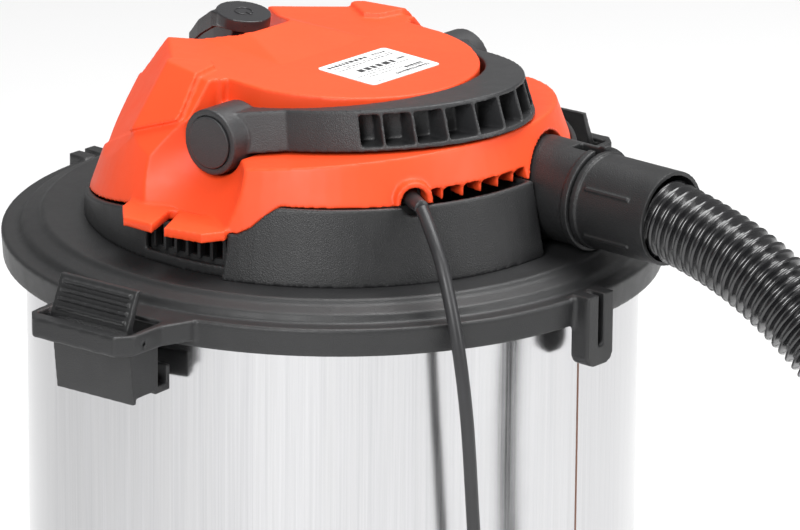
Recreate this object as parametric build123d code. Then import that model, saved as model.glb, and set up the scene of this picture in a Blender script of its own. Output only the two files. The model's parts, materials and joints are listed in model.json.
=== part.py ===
"""Shop vacuum: a stainless 30 litre drum on a caster base, with a lift-off motor head.

Frame: millimetres, +Z up, floor at z = 0, drum axis on Z.
+X is the hose port side, the two latches stand near -Y and +Y.
"""
from build123d import *
import math
import os

os.makedirs("parts", exist_ok=True)

# ---- driving dimensions -------------------------------------------------------------
DRUM_R = 165.0            # stainless drum, outer radius
DRUM_WALL = 1.0
DRUM_BOTTOM_Z = 64.5
RIM_Z = 412.0             # bottom edge of the lid's outer rim
RIM_R = 178.6
RIM_H = 15.3
LID_TOP = RIM_Z + 24.5    # flat of the lid that carries the motor pod
LID_WALL = 3.0
POD_R_BOTTOM = 139.0
POD_R_TOP = 130.0
POD_TOP = RIM_Z + 64.0    # parting line between pod and cover, port side
COVER_R = 127.5
COVER_WALL = 3.0
DECK_Z = RIM_Z + 110.0    # top of the cover above the drum axis
DOME_AX = 81.0            # half axes of the dome that the handle folds around
DOME_AY = 73.4
PIVOT_X = 4.5             # handle pivot, axis along Y
PIVOT_Z = RIM_Z + 85.0
BOSS_R = 17.7
BOSS_IN = 78.0
BOSS_OUT = 103.0
HANDLE_TILT = 6.5         # the folded handle climbs towards the port, degrees
HANDLE_LOW = -7.0         # underside and top of the handle, from its pivot
HANDLE_HIGH = 14.5
HANDLE_IX = 85.0          # half axes of the handle's inner edge
HANDLE_IY = 78.3
PORT_Y = 40.0             # the suction port runs along +X, off to one side
PORT_Z = RIM_Z + 52.0
PORT_R = 27.0
PORT_WALL_X = 120.0       # flat recessed wall of the pod that carries the port
PORT_END = 152.0
ELBOW_X = 84.0            # the inlet turns down here, through the lid
ELBOW_R = 26.4
CUFF_END = 201.0
HOSE_D = 42.0
CORD_D = 7.0
FIT = 0.05                # running clearance on the radius of pins and shafts
GAP = 0.4                 # gap kept between bodies that only pass each other
LATCH_TURN = 4.5          # the latches sit this far round from the Y axis, degrees
CASTER_R = 176.0          # caster swivel axes, from the drum axis
WHEEL_R = 22.5
TRAIL = 16.0


# ---- small builders -----------------------------------------------------------------
def disc(radius, z0, z1, x=0.0, y=0.0):
    """Upright cylinder between two heights."""
    return Pos(x, y, (z0 + z1) / 2) * Cylinder(radius, z1 - z0)


def ring(r_out, r_in, z0, z1, x=0.0, y=0.0):
    """Upright tube between two heights."""
    return disc(r_out, z0, z1, x, y) - disc(r_in, z0 - 1, z1 + 1, x, y)


def box(x0, x1, y0, y1, z0, z1):
    """Box from its limits."""
    middle = Pos((x0 + x1) / 2, (y0 + y1) / 2, (z0 + z1) / 2)
    return middle * Box(x1 - x0, y1 - y0, z1 - z0)


def rod(axis, radius, start, end, a=0.0, b=0.0):
    """Cylinder along X or Y: a and b place its axis."""
    middle = (start + end) / 2
    if axis == "X":
        return Pos(middle, a, b) * Rot(0, 90, 0) * Cylinder(radius, end - start)
    return Pos(a, middle, b) * Rot(90, 0, 0) * Cylinder(radius, end - start)


def turned(points):
    """Solid of revolution about Z from a closed outline of (radius, height) points."""
    outline = make_face(Polyline(*[(r, 0, z) for r, z in points], close=True))
    return revolve(outline, Axis.Z)


def prism_y(points, half):
    """Solid that runs from -half to +half along Y, with an (x, z) outline."""
    face = make_face(Polyline(*[(x, -half, z) for x, z in points], close=True))
    return extrude(face, amount=2 * half, dir=(0, 1, 0))


def prism_z(points, z0, z1):
    """Upright solid with an (x, y) outline."""
    face = make_face(Polyline(*[(x, y, z0) for x, y in points], close=True))
    return extrude(face, amount=z1 - z0, dir=(0, 0, 1))


def oval(ax, ay, z0, z1):
    """Upright elliptical cylinder."""
    return Pos(0, 0, z0) * extrude(Ellipse(ax, ay), amount=z1 - z0)


def mirrored(solid):
    """The same solid on the other side of the XZ plane."""
    return mirror(solid, about=Plane.XZ)


def around(solid, count, start=0.0):
    """Copies of a solid spaced evenly around Z."""
    step = 360.0 / count
    return [Rot(0, 0, start + step * k) * solid for k in range(count)]


def group(solids):
    """One compound of separate solids."""
    return Compound(children=[s for piece in solids for s in piece.solids()])


def save(name, shape):
    """Write one node."""
    export_step(shape, f"parts/{name}.step")


# ---- drum and base ------------------------------------------------------------------
def build_drum():
    """Open steel drum: side wall, flat bottom and a rolled bead at its mouth."""
    top = RIM_Z + 8.6
    inner = DRUM_R - DRUM_WALL
    shell = disc(DRUM_R, DRUM_BOTTOM_Z, top - 3) - disc(inner, DRUM_BOTTOM_Z + DRUM_WALL, top)
    bead = Pos(0, 0, top - 3) * Torus(DRUM_R + 1.6, 3.0)
    seam = box(DRUM_R - 0.5, DRUM_R + 0.35, -1.2, 1.2, DRUM_BOTTOM_Z + 32, top - 7)
    save("drum", shell + bead + seam)


def caster_spots():
    """Swivel axes of the four casters."""
    spots = []
    for k in range(4):
        angle = math.radians(45 + 90 * k)
        spots.append((CASTER_R * math.cos(angle), CASTER_R * math.sin(angle)))
    return spots


def build_base():
    """Plastic tray that the drum stands in, with four outboard caster feet."""
    floor_z = 60.5
    tray = turned([(0, floor_z), (172, floor_z), (174, floor_z + 3), (174, 78), (171, 94),
                   (0, 94)])
    tray = tray + ring(150, 146, 54, 70) + ring(100, 96, 54, 70)
    for x, y in caster_spots():
        tray = tray + disc(16, 52, 88, x, y)
    tray = tray - disc(165.4, DRUM_BOTTOM_Z, 120)
    for x, y in caster_spots():
        tray = tray - disc(5.5 + FIT, 50, 84, x, y)
    for hole in around(disc(2.0, 50, 70, 122, 0), 4):
        tray = tray - hole
    save("base_tray", tray)
    screw = disc(2.0, 57.4, 64.4, 122, 0) + disc(4.2, 57.4, 60.5, 122, 0)
    save("base_screws", group(around(screw, 4)))


def build_caster(index, x, y):
    """Swivel caster: fork with its stem, axle and wheel, trailing outwards."""
    turn = math.degrees(math.atan2(y, x))
    place = Pos(x, y, 0) * Rot(0, 0, turn)
    wheel_half = 8.5
    plate_in = wheel_half + 0.8
    plate_out = plate_in + 2.4
    stem = disc(5.5, 46, 82)
    crown = disc(13, 46, 51.2) + box(0, TRAIL, -plate_out, plate_out, 46, 49)
    plates = box(-4, TRAIL + 6, plate_in, plate_out, 16, 49)
    plates = plates + box(-4, TRAIL + 6, -plate_out, -plate_in, 16, 49)
    plates = plates - rod("Y", WHEEL_R - 2, -7, 7, 0, 0)
    fork = stem + crown + plates - rod("Y", 3.0, -20, 20, TRAIL, WHEEL_R)
    save(f"caster_fork_{index}", place * fork)
    wheel = rod("Y", WHEEL_R, -wheel_half, wheel_half, TRAIL, WHEEL_R)
    wheel = wheel - rod("Y", 3.0 + FIT, -20, 20, TRAIL, WHEEL_R)
    save(f"caster_wheel_{index}", place * wheel)
    axle = rod("Y", 3.0, -plate_out - 1.2, plate_out + 1.2, TRAIL, WHEEL_R)
    save(f"caster_axle_{index}", place * axle)


# ---- lid ----------------------------------------------------------------------------
SHELF_OUT = 221.0
SHELF_HALF = 34.0
SHELF_Z0 = RIM_Z + 4.0
SHELF_Z1 = RIM_Z + RIM_H
SLOT_X = 30.0             # half width of the latch slot in the shelf
PIN_Y = 204.5             # latch pin, from the drum axis
PIN_Z = RIM_Z + 8.6


def shelf_outline(margin):
    """Plan outline of a latch shelf on the -Y side, shrunk by a margin."""
    half = SHELF_HALF - margin
    out = SHELF_OUT - margin
    return [(-half - 8, -165), (-half - 8, -176), (-half - 1, -192), (-half, -out + 8),
            (-half + 7, -out), (half - 7, -out), (half, -out + 8), (half + 1, -192),
            (half + 8, -176), (half + 8, -165)]


def latch_places():
    """Rotations that carry a -Y latch to its two real places."""
    return {"near": Rot(0, 0, LATCH_TURN), "far": Rot(0, 0, LATCH_TURN + 180)}


def build_lid():
    """Stepped round lid with its rim, latch shelves and accessory hook tabs."""
    z = RIM_Z
    lid = turned([(175.4, z), (RIM_R - 1, z), (RIM_R, z + RIM_H - 1), (RIM_R - 1, z + RIM_H),
                  (169, z + RIM_H), (167, z + 19.5), (158.4, z + 22), (156.6, z + 24.5),
                  (61, z + 24.5), (61, z + 21), (154, z + 21), (157, z + 18), (157, z - 8),
                  (160.5, z - 8), (160.5, z + 12.3), (175.4, z + 12.3)])
    for place in latch_places().values():
        shelf = prism_z(shelf_outline(0), SHELF_Z0, SHELF_Z1)
        hollow = prism_z(shelf_outline(3), SHELF_Z0 - 1, SHELF_Z1 - 3)
        shelf = shelf - hollow - disc(175.4, z - 1, z + 40)
        slot = box(-SLOT_X, SLOT_X, -213, -186, z - 2, z + 30)
        ears = box(-SLOT_X - 3, -SLOT_X + 1, -211, -190, z + 4, z + 13)
        ears = ears + box(SLOT_X - 1, SLOT_X + 3, -211, -190, z + 4, z + 13)
        bore = rod("X", 2.0, -SLOT_X - 4, SLOT_X + 4, -PIN_Y, PIN_Z)
        lid = lid + place * shelf
        lid = lid - place * slot + place * ears - place * bore
    for side in (0, 180):
        lid = lid + Rot(0, 0, side) * hook_tab()
    lid = lid - disc(ELBOW_R + 0.2, z, z + 30, ELBOW_X, PORT_Y)
    save("lid", lid)
    gasket = ring(172.5, 162.5, z + 9.1, z + 12.3)
    save("lid_gasket", gasket)


def hook_tab():
    """Slotted tab under the rim that an accessory or a cord hangs on."""
    tab = box(174, 187, -10.5, 10.5, RIM_Z - 22, RIM_Z + RIM_H + 1.7)
    tab = fillet(tab.edges().filter_by(Axis.X).group_by(Axis.Z)[0], 7)
    slot = box(170, 190, -2.2, 2.2, RIM_Z - 9, RIM_Z + 30)
    slot = slot + rod("X", 2.2, 170, 190, 0, RIM_Z - 9)
    hollow = disc(175.4, RIM_Z - 60, RIM_Z + 12)
    return tab - slot - hollow


def build_latch(side, place):
    """Latch lever with its ribbed thumb tab, skirt and hook, and its pin."""
    half = 25.5
    plate = [(-199.6, RIM_Z + 34), (-196.6, RIM_Z + 34), (-203, RIM_Z + 15),
             (-202, RIM_Z + 4), (-200.6, RIM_Z - 27), (-203.4, RIM_Z - 27),
             (-207, RIM_Z + 6), (-208, RIM_Z + 15)]
    face = make_face(Polyline(*[(-half, y, z) for y, z in plate], close=True))
    lever = extrude(face, amount=2 * half, dir=(1, 0, 0))
    for k in range(4):
        rise = 17.5 + 4.3 * k
        depth = -207.6 + (rise - 15) * 0.43
        lever = lever + box(-half + 3, half - 3, depth - 1.4, depth + 1.5,
                            RIM_Z + rise, RIM_Z + rise + 1.8)
    for x in (-half, half - 2.5):
        web = box(x, x + 2.5, -202, -183, RIM_Z - 24, RIM_Z + 1)
        lever = lever + web
    hook = box(-half, half, -185, -173.5, RIM_Z - 26, RIM_Z - 22)
    nose = box(-half, half, -176, -173.5, RIM_Z - 26, RIM_Z - 12)
    lever = lever + hook + nose - disc(171.2, RIM_Z - 40, RIM_Z)
    lever = lever - rod("X", 2.0 + FIT, -half - 1, half + 1, -PIN_Y, PIN_Z)
    save(f"latch_{side}", place * lever)
    pin = rod("X", 2.0, -SLOT_X - 2.6, SLOT_X + 2.6, -PIN_Y, PIN_Z)
    save(f"latch_pin_{side}", place * pin)


# ---- motor pod and cover ------------------------------------------------------------
def parting(shift):
    """Parting line between pod and cover in the XZ plane, front to port."""
    line = [(-160, 27), (-98, 34.5), (-35, 47), (44, 48.5), (50, 52), (57, 60), (62, 64),
            (160, 64)]
    return [(x, RIM_Z + z + shift) for x, z in line]


def pod_solid(inset):
    """Outer form of the motor pod, drawn in by a wall thickness."""
    slack = 1 if inset else 0
    z0 = LID_TOP - slack
    z1 = POD_TOP + slack
    cone = turned([(0, z0), (POD_R_BOTTOM - inset, z0), (POD_R_TOP - inset, z1), (0, z1)])
    front = turned([(0, z0), (134 - inset, z0), (131 - inset, z1), (0, z1)])
    cone = (cone & box(40, 160, -160, 160, z0, z1)) + (front & box(-160, 40, -160, 160, z0, z1))
    port = box(PORT_WALL_X - inset, 160, 12 - inset, 75 + inset, z0 - 5, z1 + 5)
    under = [(-160, z0)] + parting(slack) + [(160, z0)]
    return (cone - port) & prism_y(under, 150)


def build_pod():
    """Motor pod: a wall on the lid with exhaust openings and the recessed port wall."""
    z = RIM_Z
    pod = pod_solid(0) - pod_solid(3.5)
    for opening in vent_boxes(24, 30, 45):
        pod = pod - opening
    pod = pod + ring(124, 66.4, LID_TOP, LID_TOP + 3)
    pod = pod - rod("X", PORT_R, 60, 180, PORT_Y, PORT_Z)
    pod = pod - disc(ELBOW_R + 0.2, LID_TOP - 1, PORT_Z, ELBOW_X, PORT_Y)
    pod = pod - cord_tab() - cord_exit_plane() * Pos(0, 0, 10) * Cylinder(7.5, 60)
    for x, y in pod_screw_spots():
        pod = pod + disc(5, LID_TOP, z + 44, x, y)
        pod = pod - disc(1.6, z + 30, z + 50, x, y)
    save("motor_pod", pod)


def vent_boxes(half, z0, z1):
    """Blocks through the pod wall at the two exhaust openings."""
    near = Rot(0, 0, LATCH_TURN) * box(-half, half + 4, -160, -90, RIM_Z + z0, RIM_Z + z1)
    return [near, mirrored(near)]


def build_grilles():
    """Slatted exhaust grilles that clip in behind the pod's openings."""
    names = ("exhaust_grille_near", "exhaust_grille_far")
    for name, sign in zip(names, (-1, 1)):
        frame = ring(127.2, 124.4, RIM_Z + 28.2, RIM_Z + 44.8)
        index = 0 if sign < 0 else 1
        frame = frame & vent_boxes(28, 20, 60)[index]
        frame = frame - vent_boxes(24, 31.5, 43)[index]
        for k in range(7):
            angle = sign * (84.6 - (k - 3) * 3.4)
            slat = box(124.6, 129.2, -0.9, 0.9, RIM_Z + 31, RIM_Z + 43.5)
            frame = frame + Rot(0, 0, angle) * slat
        save(name, frame)


def pod_screw_spots():
    """Screw posts that hold the cover on the pod."""
    spots = []
    for angle in (60, 140, 220, 300):
        a = math.radians(angle)
        spots.append((98 * math.cos(a), 98 * math.sin(a)))
    return spots


def outside(point, normal):
    """Big block on the outer side of a plane, for cutting."""
    plane = Plane(origin=point, z_dir=normal)
    return plane * Pos(0, 0, 200) * Box(700, 700, 400)


def front_form(inset):
    """Front half of the cover: a cone cut by facets, with a ridge along the middle."""
    z = RIM_Z - inset * 1.05
    form = turned([(0, RIM_Z + 20), (134.5 - inset, RIM_Z + 20), (100.0 - inset, RIM_Z + 118),
                   (0, RIM_Z + 118)])
    form = form & box(-160, 6, -160, 160, RIM_Z, RIM_Z + 140)
    form = form - outside((-46, 0, z + 116.5), (0.16, 0, 1))
    form = form - outside((-46, 0, z + 116.5), (-0.105, 0, 1))
    form = form - outside((-90, 0, z + 111), (-0.885, 0, 0.466))
    for side in (-1, 1):
        form = form - outside((-84, side * 40, z + 112), (-0.582, side * 0.611, 0.537))
        form = form - outside((-18, side * 82, z + 110.4), (-0.15, side * 0.743, 0.652))
    ridge = form
    for side in (-1, 1):
        ridge = ridge - outside((-46, side * 18, z + 116), (0.003, side * 0.322, 0.947))
    level = form - outside((0, 0, DECK_Z - inset), (0.022, 0, 1))
    return ridge + level


APRON_FACE = (0.348, -0.205, -0.915)


def rib_form(inset):
    """Raised rib on each front flank of the cover."""
    plan = [(-52, -72), (-33, -61), (-26, -66), (-19, -100), (-22, -112), (-54, -112)]
    rib = prism_z(plan, RIM_Z + 60, RIM_Z + 130) & (Pos(-0.6, -3.2, 2.6) * front_form(inset))
    rib = rib - outside((-6, -107, RIM_Z + 98), APRON_FACE)
    return rib + mirrored(rib)


def apron_form(inset):
    """Lower apron of the front, proud of the flanks above its crease."""
    half = front_form(inset - 1.8) & box(-160, 6, -160, 0, RIM_Z, RIM_Z + 140)
    half = half - outside((-6, -107, RIM_Z + 98), (-0.348, 0.205, 0.915))
    return half + mirrored(half)


def dome_form(inset):
    """Level top that carries the label, with its shoulders beside the spine."""
    top = RIM_Z + 125
    low = RIM_Z + 40
    dome = oval(DOME_AX - inset, DOME_AY - inset, low, top)
    dome = dome & box(0, 100, -100, 100, low, top)
    corner = DOME_AY - inset
    plan = [(-16 + inset, -corner), (1, -corner), (1, corner), (-16 + inset, corner),
            (-34 + inset, 60), (-34 + inset, -60)]
    dome = dome + prism_z(plan, low, top)
    return dome - outside((0, 0, DECK_Z - inset), (0.022, 0, 1))


def belt_form(inset):
    """Belt of the cover below the folded handle, on the port side."""
    z = RIM_Z
    belt = turned([(0, z + 45), (COVER_R + 6.5 - inset, z + 45), (COVER_R - 13 - inset, z + 99),
                   (0, z + 99)])
    belt = belt & box(5, 160, -160, 160, z, z + 140)
    ledge = PIVOT_Z + HANDLE_LOW - 1.5 - inset
    slope = math.sin(math.radians(HANDLE_TILT))
    return belt - outside((PIVOT_X, 0, ledge), (-slope, 0, math.cos(math.radians(HANDLE_TILT))))


def cover_form(inset):
    """Outer form of the cover, drawn in by a wall thickness."""
    form = front_form(inset) + apron_form(inset) + dome_form(inset) + belt_form(inset)
    above = parting(-3 if inset else 0) + [(160, RIM_Z + 200), (-160, RIM_Z + 200)]
    form = form & prism_y(above, 160)
    for side in (-1, 1):
        clear = BOSS_R + 1.3 + inset
        start = BOSS_IN - 1.7 - inset
        hub = rod("Y", clear, start, 160, PIVOT_X, PIVOT_Z)
        hub = hub + box(PIVOT_X - clear, PIVOT_X + clear, start, 160, PIVOT_Z, RIM_Z + 140)
        swing = DOME_AY - 0.9 - inset
        hub = hub + box(PIVOT_X - 16 - inset, PIVOT_X + clear, swing, 160, PIVOT_Z + 12, RIM_Z + 140)
        funnel = Pos(PIVOT_X, 120, PIVOT_Z) * Rot(-90, 0, 0) * Cone(clear, clear + 44, 44)
        hub = hub + funnel
        form = form - (hub if side > 0 else mirrored(hub))
    form = form - rod("X", PORT_R + 2 + inset, 100 - inset, 180, PORT_Y, PORT_Z)
    return form - recess_form(inset)


SWITCH_TILT = 24.0        # the switch faces the front, tilted down
SWITCH_X = -68.0
SWITCH_Z = RIM_Z + 117.5
SWITCH_DEEP = 13.0


def switch_place():
    """Frame of the power switch: its top face, with -X down to the front."""
    return Pos(SWITCH_X, 0, SWITCH_Z) * Rot(0, -SWITCH_TILT, 0)


def recess_form(inset):
    """Recess in the top of the cover that opens to the front around the switch."""
    plan = [(-46 + inset, -14), (-46 + inset, 14), (-49, 19 + inset), (-58, 24 + inset),
            (-84, 40 + inset), (-150, 70 + inset), (-150, -70 - inset), (-84, -40 - inset),
            (-58, -24 - inset), (-49, -19 - inset)]
    well = prism_z(plan, RIM_Z + 40, RIM_Z + 150)
    floor = switch_place() * Pos(0, 0, -SWITCH_DEEP - inset + 100) * Box(300, 300, 200)
    return well & floor


def cord_exit_plane():
    """Frame of the power cord exit: Z points straight out of the housing."""
    angle = math.radians(-29.3)
    outward = (math.cos(angle), math.sin(angle), 0)
    return Plane(origin=(109 * math.cos(angle), 109 * math.sin(angle), RIM_Z + 66.5),
                 z_dir=outward)


def cord_tab():
    """Flat hook on the near side of the cover, before its notch is cut."""
    plan = [(-44, -100), (-30, -133), (-16, -147), (12, -146), (34, -141), (40, -130),
            (30, -100)]
    return prism_z(plan, RIM_Z + 45, RIM_Z + 50)


def cord_notch():
    """Notch in the hook that the cord is wound through."""
    plan = [(5, -150), (-6, -122), (-2, -119), (14, -150)]
    return prism_z(plan, RIM_Z + 44, RIM_Z + 51)


def build_cover():
    """Moulded cover over the motor: dome, spine, switch recess, cord hook and vents."""
    shell = cover_form(0) - cover_form(COVER_WALL)
    shell = shell + (cord_tab() - cord_notch() - disc(118, RIM_Z, RIM_Z + 90))
    shell = shell + (rib_form(0) - cover_form(COVER_WALL))
    vent = Rot(0, 0, -9.5) * box(100, 150, -32, 32, RIM_Z + 60, RIM_Z + 70.5)
    shell = shell - vent
    for k in range(5):
        angle = -21 + 5.6 * k
        fin = box(112, 123.5, -0.9, 0.9, RIM_Z + 64, RIM_Z + 72.5)
        shell = shell + Rot(0, 0, angle) * fin
    shell = shell - cord_exit_plane() * Pos(0, 0, 10) * Cylinder(7.5, 60)
    shell = shell - rod("X", ELBOW_R + 0.3, 80, 118, PORT_Y, PORT_Z)
    for side in (-1, 1):
        stub = rod("Y", 12, DOME_AY - 6, BOSS_IN - 2.8, PIVOT_X, PIVOT_Z)
        hole = rod("Y", 6.0, 60, 90, PIVOT_X, PIVOT_Z)
        shell = shell + (stub if side > 0 else mirrored(stub))
        shell = shell - (hole if side > 0 else mirrored(hole))
    for x, y in pod_screw_spots():
        post = disc(5, RIM_Z + 44.2, RIM_Z + 90, x, y) & cover_form(0)
        shell = shell + post - disc(1.6, RIM_Z + 40, RIM_Z + 58, x, y)
    place = switch_place()
    well = Box(16, 24, 30)
    shell = shell - place * Pos(-2, 0, -SWITCH_DEEP) * well
    for y in (-13.5, 13.5):
        lug = Pos(-2, y, -SWITCH_DEEP - 6) * Box(10, 3, 12)
        shell = shell + place * lug
    shell = shell - place * Pos(-2, 0, -SWITCH_DEEP - 6) * Rot(90, 0, 0) * Cylinder(1.5, 40)
    save("top_cover", shell)
    label = box(11.4, 52.1, -27.1, 27.1, 0.02, 0.32)
    label = fillet(label.edges().filter_by(Axis.Z), 3)
    tilt = math.degrees(math.atan(0.022))
    save("rating_label", Pos(0, 0, DECK_Z) * Rot(0, tilt, 0) * label)


def build_cover_screws():
    """Screws up through the pod posts into the cover."""
    screws = []
    for x, y in pod_screw_spots():
        screws.append(disc(1.6, RIM_Z + 30, RIM_Z + 56, x, y))
    save("cover_screws", group(screws))


# ---- power switch -------------------------------------------------------------------
def build_switch():
    """Teardrop rocker, its pin and the switch module under the cover."""
    place = switch_place()
    pad = Pos(-65.5, 0, RIM_Z + 120.8) * Rot(0, 8, 0) * Pos(0, 0, -3.3) * Cylinder(15, 6.6)
    side = [(-64, 120.4), (-78, 121.4), (-91, 113), (-103, 101.5), (-104.5, 97.5),
            (-100, 97.5), (-88, 106), (-76, 113), (-64, 114.4)]
    plan = [(-64, -14.9), (-78, -12.4), (-92, -8), (-102, -4), (-104.5, 0), (-102, 4),
            (-92, 8), (-78, 12.4), (-64, 14.9)]
    tongue = prism_y([(x, RIM_Z + z) for x, z in side], 20)
    tongue = tongue & prism_z(plan, RIM_Z + 90, RIM_Z + 130)
    lug = place * Pos(-2, 0, -SWITCH_DEEP + 1) * Box(8, 20, 20)
    axis = Pos(-2, 0, -SWITCH_DEEP - 6) * Rot(90, 0, 0)
    rocker = pad + tongue + lug - place * axis * Cylinder(1.5 + FIT, 60)
    save("power_rocker", rocker)
    save("rocker_pin", place * axis * Cylinder(1.5, 29.6))
    module = Pos(-5, 0, -SWITCH_DEEP - 21) * Box(16, 16, 16)
    tabs = Pos(-5, 0, -SWITCH_DEEP - 31) * Box(10, 1.2, 5)
    save("switch_module", place * (module + tabs))


# ---- carrying handle ----------------------------------------------------------------
def handle_plan(margin):
    """Outer form of the folded handle between its pivots, widest at its lower edge."""
    rings = []
    for height, grow in ((HANDLE_LOW, 0.0), (HANDLE_HIGH, -5.0)):
        outline = Ellipse(121.5 + grow - margin, 84.5 + (grow - margin) * 0.7)
        rings.append(Pos(0, 0, height) * outline)
    return loft(rings) & box(PIVOT_X + 1, 140, -130, 130, -60, 60)


def build_handle():
    """Bail handle with a ribbed grip, its pivot pins and the caps over them."""
    low = HANDLE_LOW
    high = HANDLE_HIGH
    bow = handle_plan(0) - oval(HANDLE_IX, HANDLE_IY, -70, 70)
    bow = bow & box(-20, 140, -130, 130, low, high)
    for side in (-1, 1):
        arm = prism_z([(PIVOT_X, BOSS_IN), (PIVOT_X, BOSS_OUT - 1), (18, 96), (38, 80.5), (30, 72)],
                      low, high)
        arm = arm - oval(HANDLE_IX, HANDLE_IY, -70, 70)
        arm = arm - outside((38, 80.5, low), (0.613, 0.79, 0.18))
        boss = rod("Y", BOSS_R, BOSS_IN, BOSS_OUT, PIVOT_X, 0)
        part = arm + boss
        bow = bow + (part if side > 0 else mirrored(part))
    pocket = (handle_plan(-5) - oval(121.5 - 19, 84.5 - 14, -70, 70))
    wedge = prism_z([(0, 0), (170, -143), (170, 143)], low + 2.6, high - 2.6)
    pocket = pocket & wedge
    for k in range(9):
        angle = (k - 4) * 8.4
        pocket = pocket - Rot(0, 0, angle) * box(60, 150, -0.8, 0.8, -40, 40)
    bow = bow - pocket
    for side in (-1, 1):
        bore = rod("Y", 6.0 + FIT, BOSS_IN - 2, BOSS_OUT + 2, PIVOT_X, 0)
        bore = bore + rod("Y", 14.0, BOSS_OUT - 3.0, BOSS_OUT + 2, PIVOT_X, 0)
        bow = bow - (bore if side > 0 else mirrored(bore))
    place = Pos(PIVOT_X, 0, PIVOT_Z) * Rot(0, -HANDLE_TILT, 0) * Pos(-PIVOT_X, 0, 0)
    save("handle", place * bow)
    cap = rod("Y", 14.0, BOSS_OUT - 2.2, BOSS_OUT + 1.2, PIVOT_X, PIVOT_Z)
    save("handle_caps", group([cap, mirrored(cap)]))
    pin = rod("Y", 6.0, 66, BOSS_OUT - 3.4, PIVOT_X, PIVOT_Z)
    save("handle_pins", group([pin, mirrored(pin)]))


# ---- motor and filter ---------------------------------------------------------------
def build_motor():
    """Universal motor on the lid: turbine, housing, field, armature and bearings."""
    z = RIM_Z
    housing = ring(66, 62, z + 27.6, z + 50) + ring(66, 46, z + 50, z + 53)
    housing = housing + ring(66, 30, z + 25, z + 27.6)
    for angle in (0, 90, 180, 270):
        strut = box(44, 60, -4, 4, z + 53, z + 60)
        housing = housing + Rot(0, 0, angle + 45) * strut
    save("fan_housing", housing)
    field = ring(43, 24, z + 53, z + 84)
    for side in (0, 180):
        coil = Rot(0, 0, side) * box(26, 36, -12, 12, z + 84, z + 86)
        field = field + coil
    save("motor_field", field)
    save("motor_bearings", group([ring(11, 5 + FIT, z + 46, z + 52),
                                  ring(9, 4 + FIT, z + 98, z + 103)]))
    bracket = ring(14, 9, z + 97, z + 103) + ring(42, 38, z + 84, z + 88)
    for angle in (90, 270):
        bracket = bracket + Rot(0, 0, angle) * box(12, 42, -5, 5, z + 97, z + 101)
        bracket = bracket + Rot(0, 0, angle) * box(38, 42, -5, 5, z + 86, z + 101)
    hub = ring(46, 11, z + 50, z + 53)
    save("motor_bracket", bracket)
    save("bearing_plate", hub)
    shaft = disc(5, z + 29, z + 56) + disc(4, z + 56, z + 104)
    save("motor_shaft", shaft)
    armature = ring(23, 5, z + 56, z + 82)
    for k in range(12):
        notch = Rot(0, 0, 30 * k) * box(18, 24, -1, 1, z + 50, z + 90)
        armature = armature - notch
    save("armature", armature - disc(5, z + 50, z + 90))
    save("commutator", ring(11, 4, z + 86, z + 95))
    turbine = disc(56, z + 30, z + 31.6) + disc(56, z + 42.4, z + 44) - disc(20, z + 41, z + 45)
    turbine = turbine + disc(12, z + 30, z + 44)
    for k in range(7):
        blade = Rot(0, 0, 51.43 * k) * Pos(34, 0, 0) * Rot(0, 0, 35) * box(
            -21, 21, -0.7, 0.7, z + 31, z + 43)
        turbine = turbine + blade
    save("turbine", turbine - disc(5, z + 20, z + 60))
    brushes = []
    for angle in (0, 180):
        brush = Rot(0, 0, angle) * box(11.4, 30, -3, 3, z + 87.5, z + 93.5)
        brushes.append(brush)
    save("carbon_brushes", group(brushes))
    holders = []
    for angle in (0, 180):
        holder = Rot(0, 0, angle) * (box(14, 34, -4.5, 4.5, z + 86.2, z + 95)
                                     - box(10, 30, -3, 3, z + 87.5, z + 93.5))
        holders.append(holder)
    save("brush_holders", group(holders))


def build_filter():
    """Filter cage under the lid with its float, foam sleeve and clamp ring."""
    z = RIM_Z
    cage = ring(66, 52, z + 17.5, z + 20.8) + ring(54, 51, z - 92, z + 17.5)
    cage = cage + disc(54, z - 95, z - 92)
    for k in range(10):
        window = Rot(0, 0, 36 * k) * box(40, 60, -10, 10, z - 84, z - 8)
        cage = cage - window
    cage = cage + ring(54, 22, z - 4, z - 1)
    guide = ring(33, 30.5, z - 92, z - 4)
    for k in range(6):
        guide = guide - Rot(0, 0, 60 * k) * box(20, 40, -9, 9, z - 86, z - 14)
    save("filter_cage", cage + guide)
    ball = Pos(0, 0, z - 91.5 + 27 + 0.4) * Sphere(27)
    save("float_ball", ball)
    sleeve = ring(60, 54.2, z - 94, z + 14)
    save("foam_sleeve", sleeve)
    clamp = ring(62.2, 60.1, z - 78, z - 66)
    save("sleeve_band", clamp)
    seat = ring(66, 40, z + 20.9, z + 21.0 + 3.4) - ring(70, 61, z + 20, z + 26)
    save("intake_seal", seat)


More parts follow.
